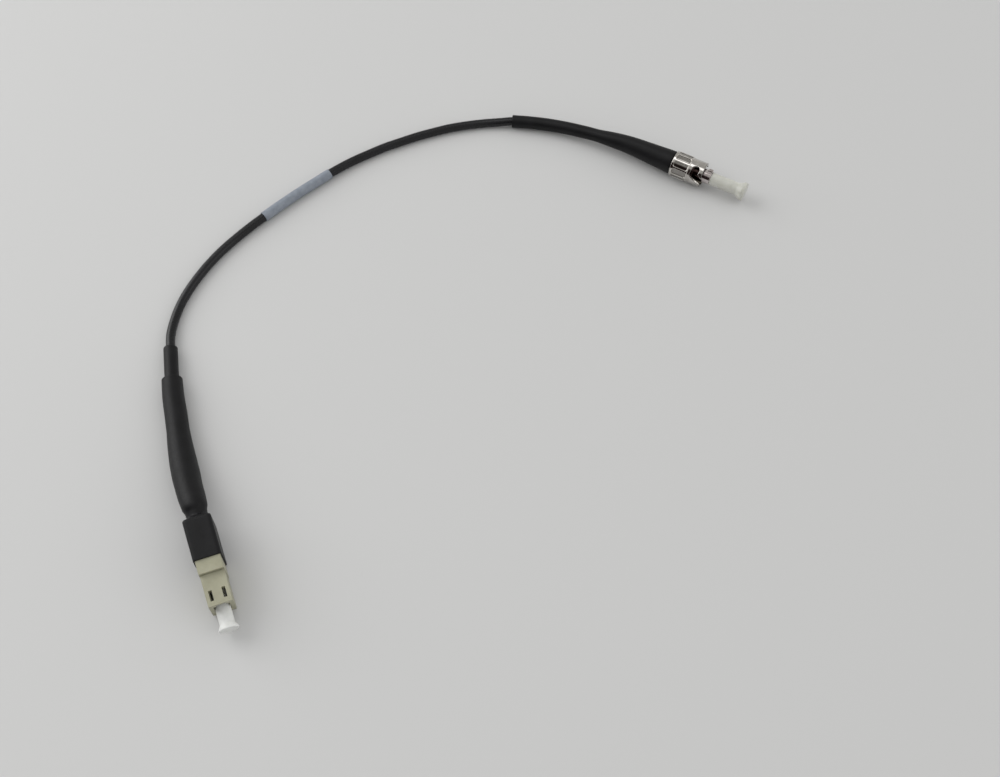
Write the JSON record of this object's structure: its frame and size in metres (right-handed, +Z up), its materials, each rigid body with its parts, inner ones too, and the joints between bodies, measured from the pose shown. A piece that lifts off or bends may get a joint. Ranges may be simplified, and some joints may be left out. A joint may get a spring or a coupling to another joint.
{
  "type": "fiber optic patch cord",
  "caption": "Short black fibre optic adapter cord: a nickel bayonet plug on one end, a beige snap-in receptacle on the other, with shrink sleeves, a label sleeve and dust caps.",
  "frame": {"origin": "on the surface that the cord lies on, under the middle of the box round both connectors and their sleeves, without the free cord", "axes": "+X is the bayonet plug's axis, out of its ferrule; +Z is up from the surface that the cord lies on"},
  "size_m": [0.1488, 0.2188, 0.015],
  "materials": {
    "nickel_plated_brass": "bright nickel plate",
    "stainless_steel": "turned",
    "spring_steel": "drawn wire",
    "crimp_copper_plated": "plated",
    "boot_elastomer": "matte",
    "shrink_tube_black": "satin",
    "zirconia_ceramic": "polished",
    "silica_glass": "drawn",
    "cap_translucent": "translucent",
    "jacket_black": "gloss",
    "aramid_yellow": "fibrous",
    "buffer_white": "satin",
    "label_tube_grey": "satin",
    "housing_beige": "satin moulded",
    "inner_plastic_blue": "satin moulded",
    "cap_white": "translucent"
  },
  "bodies": {
    "root": {"plug_spring": "spring_steel", "plug_barrel": "nickel_plated_brass", "plug_retaining_clip": "spring_steel", "plug_crimp_sleeve": "crimp_copper_plated", "plug_boot": "boot_elastomer", "plug_shrink_sleeve": "shrink_tube_black", "plug_ferrule": "zirconia_ceramic", "plug_bare_fibre": "silica_glass", "cord_jacket": "jacket_black", "strength_yarn": "aramid_yellow", "fibre_buffer": "buffer_white", "label_sleeve": "label_tube_grey", "jack_collar": "housing_beige", "jack_front_shell": "housing_beige", "jack_sleeve_holder": "housing_beige", "jack_alignment_sleeve": "zirconia_ceramic", "inner_plug_body": "inner_plastic_blue", "inner_spring": "spring_steel", "inner_rear_body": "stainless_steel", "inner_crimp_ring": "crimp_copper_plated", "jack_boot": "boot_elastomer", "jack_under_sleeve": "shrink_tube_black", "jack_shrink_sleeve": "shrink_tube_black"},
    "nut_slider": {"plug_spring_washer": "stainless_steel"},
    "nut": {"plug_coupling_nut": "nickel_plated_brass"},
    "dust_cap": {"plug_dust_cap": "cap_translucent"},
    "floating_ferrule": {"inner_ferrule": "zirconia_ceramic", "inner_ferrule_flange": "stainless_steel", "inner_bare_fibre": "silica_glass"},
    "dust_plug": {"jack_dust_plug": "cap_white"}
  },
  "joints": [
    {"name": "nut_slide", "type": "slide", "parent": "root", "child": "nut_slider", "axis": [1, 0, 0], "range_m": [0, 0.0022], "stiffness_N_per_m": 1500, "deforming": ["plug_spring"]},
    {"name": "nut_turn", "type": "hinge", "parent": "nut_slider", "child": "nut", "pos_m": [0.04335, 0.1052, 0.0045], "axis": [1, 0, 0], "continuous": true},
    {"name": "dust_cap_pull", "type": "slide", "parent": "root", "child": "dust_cap", "axis": [1, 0, 0], "range_m": [0, 0.015]},
    {"name": "ferrule_float", "type": "slide", "parent": "root", "child": "floating_ferrule", "axis": [-0.7505, 0.6547, 0.0904], "range_m": [0, 0.0008], "stiffness_N_per_m": 1000, "deforming": ["inner_spring", "fibre_buffer"]},
    {"name": "dust_plug_pull", "type": "slide", "parent": "root", "child": "dust_plug", "axis": [0.7505, -0.6547, -0.0904], "range_m": [0, 0.012]}
  ]
}
